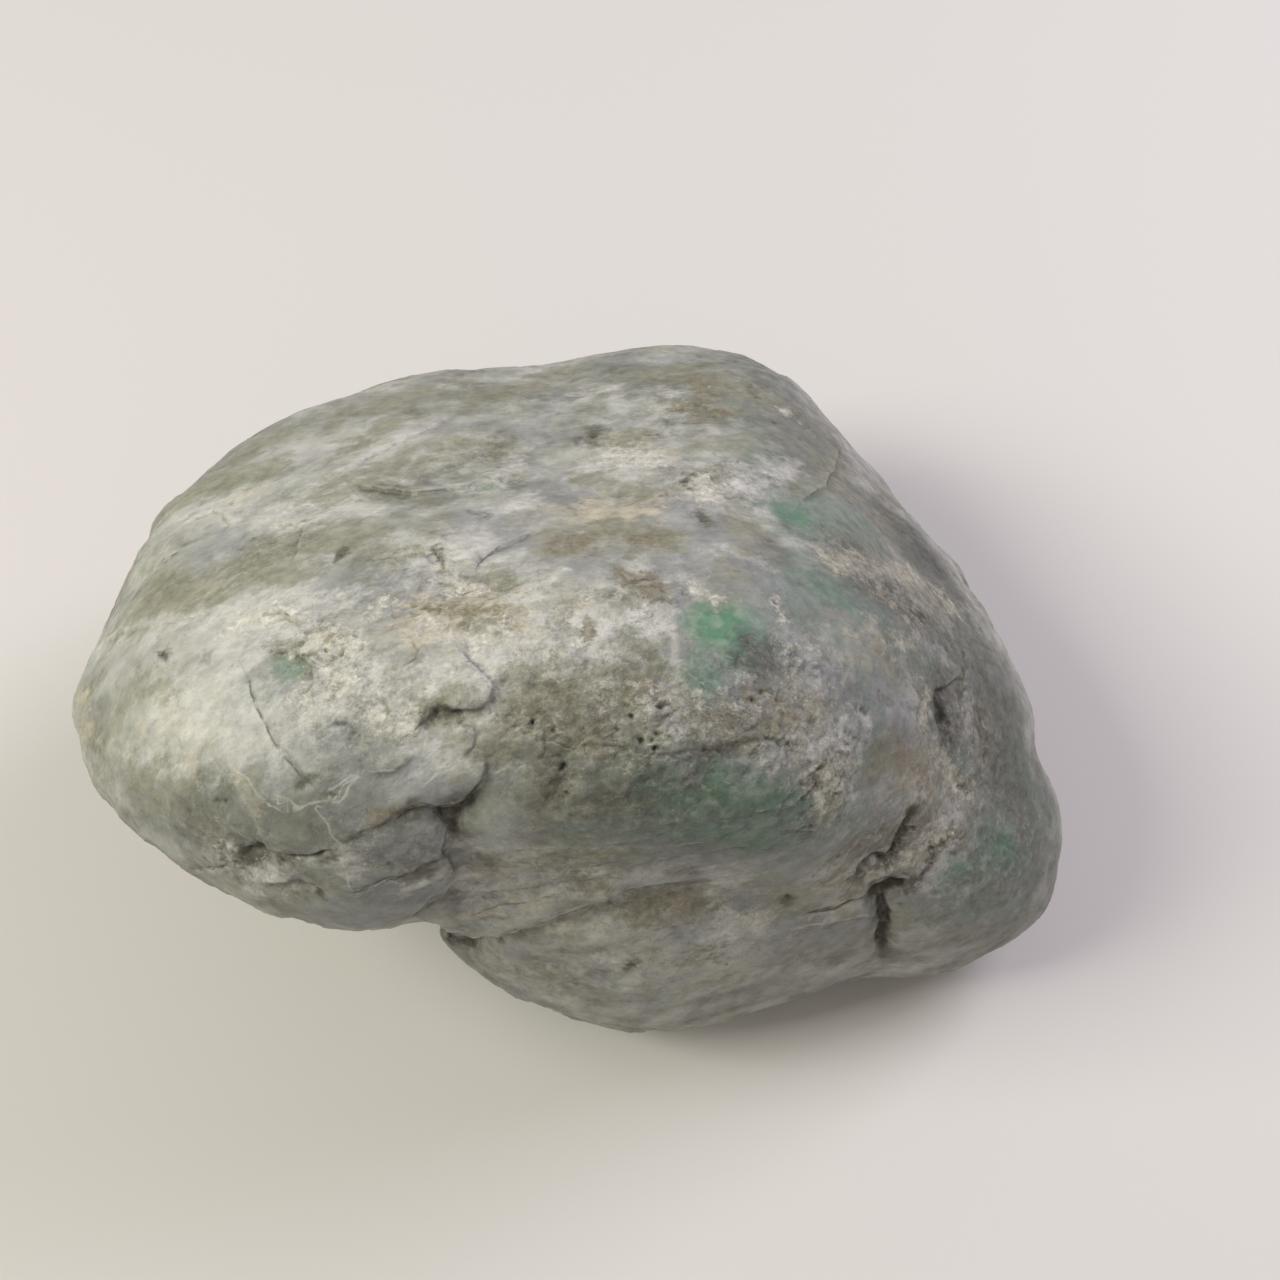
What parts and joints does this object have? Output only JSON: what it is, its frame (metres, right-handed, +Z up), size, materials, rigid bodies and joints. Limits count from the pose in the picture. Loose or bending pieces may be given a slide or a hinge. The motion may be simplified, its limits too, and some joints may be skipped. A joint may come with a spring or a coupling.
{
  "type": "raw jade boulder",
  "caption": "Water-worn boulder of raw jade, hand-sized, with an overhanging nose, stepped ledges, cracks and pits, standing on a small flat worn into its underside.",
  "frame": {"origin": "under the middle of the bounding box, on the surface the stone stands on", "axes": "+Z up, +X along the stone from its overhanging nose towards its toe, +Y from its front to its far side"},
  "size_m": [0.1184, 0.093, 0.0661],
  "materials": {
    "jadeite": "water-worn, satin, mottled grey-green, white and olive with a few emerald spots"
  },
  "bodies": {
    "root": {"jade_boulder": "jadeite"}
  },
  "joints": []
}
